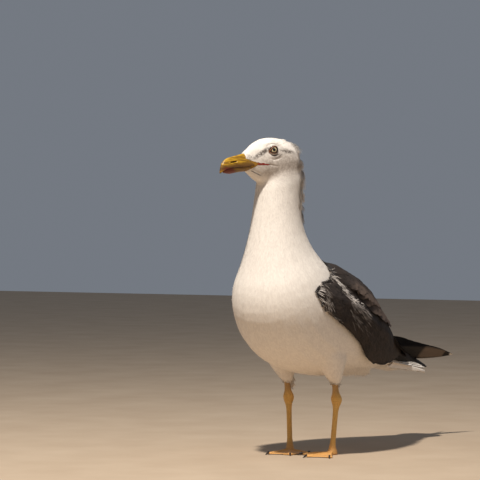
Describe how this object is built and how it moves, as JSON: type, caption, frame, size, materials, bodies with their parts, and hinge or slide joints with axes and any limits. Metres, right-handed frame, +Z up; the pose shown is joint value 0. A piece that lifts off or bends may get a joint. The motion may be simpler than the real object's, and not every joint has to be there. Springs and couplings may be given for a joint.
{
  "type": "yellow-legged gull",
  "caption": "Life-size still model of an adult yellow-legged gull standing alert with folded wings, its head turned a little to its right.",
  "frame": {"origin": "on the ground, under the centre of the gull's bounding box", "axes": "+Z up; the gull faces -Y, so +Y points from breast to tail; +X is the gull's left side"},
  "size_m": [0.171, 0.5264, 0.4384],
  "materials": {
    "white_plumage": "soft white feathers, unstreaked",
    "grey_plumage": "smooth slate-grey feathers with paler edges",
    "black_plumage": "stiff black flight feathers with white tips",
    "bill_horn": "satin yellow horn with a red patch near the tip",
    "pale_iris": "wet gloss over a pale lemon iris, orange-red lid ring",
    "leg_skin": "scaly ochre-yellow skin",
    "claw_horn": "satin dark horn"
  },
  "bodies": {
    "root": {"head": "white_plumage", "neck": "white_plumage", "trunk": "white_plumage", "tail": "white_plumage", "thigh_l": "white_plumage", "thigh_r": "white_plumage", "wing_l": "grey_plumage", "wing_r": "grey_plumage", "scapulars_l": "grey_plumage", "scapulars_r": "grey_plumage", "primaries_l": "black_plumage", "primaries_r": "black_plumage", "bill_upper": "bill_horn", "bill_lower": "bill_horn", "eye_l": "pale_iris", "eye_r": "pale_iris", "leg_l": "leg_skin", "leg_r": "leg_skin", "foot_l": "leg_skin", "foot_r": "leg_skin", "claw_inner_l": "claw_horn", "claw_middle_l": "claw_horn", "claw_outer_l": "claw_horn", "claw_inner_r": "claw_horn", "claw_middle_r": "claw_horn", "claw_outer_r": "claw_horn"}
  },
  "joints": []
}
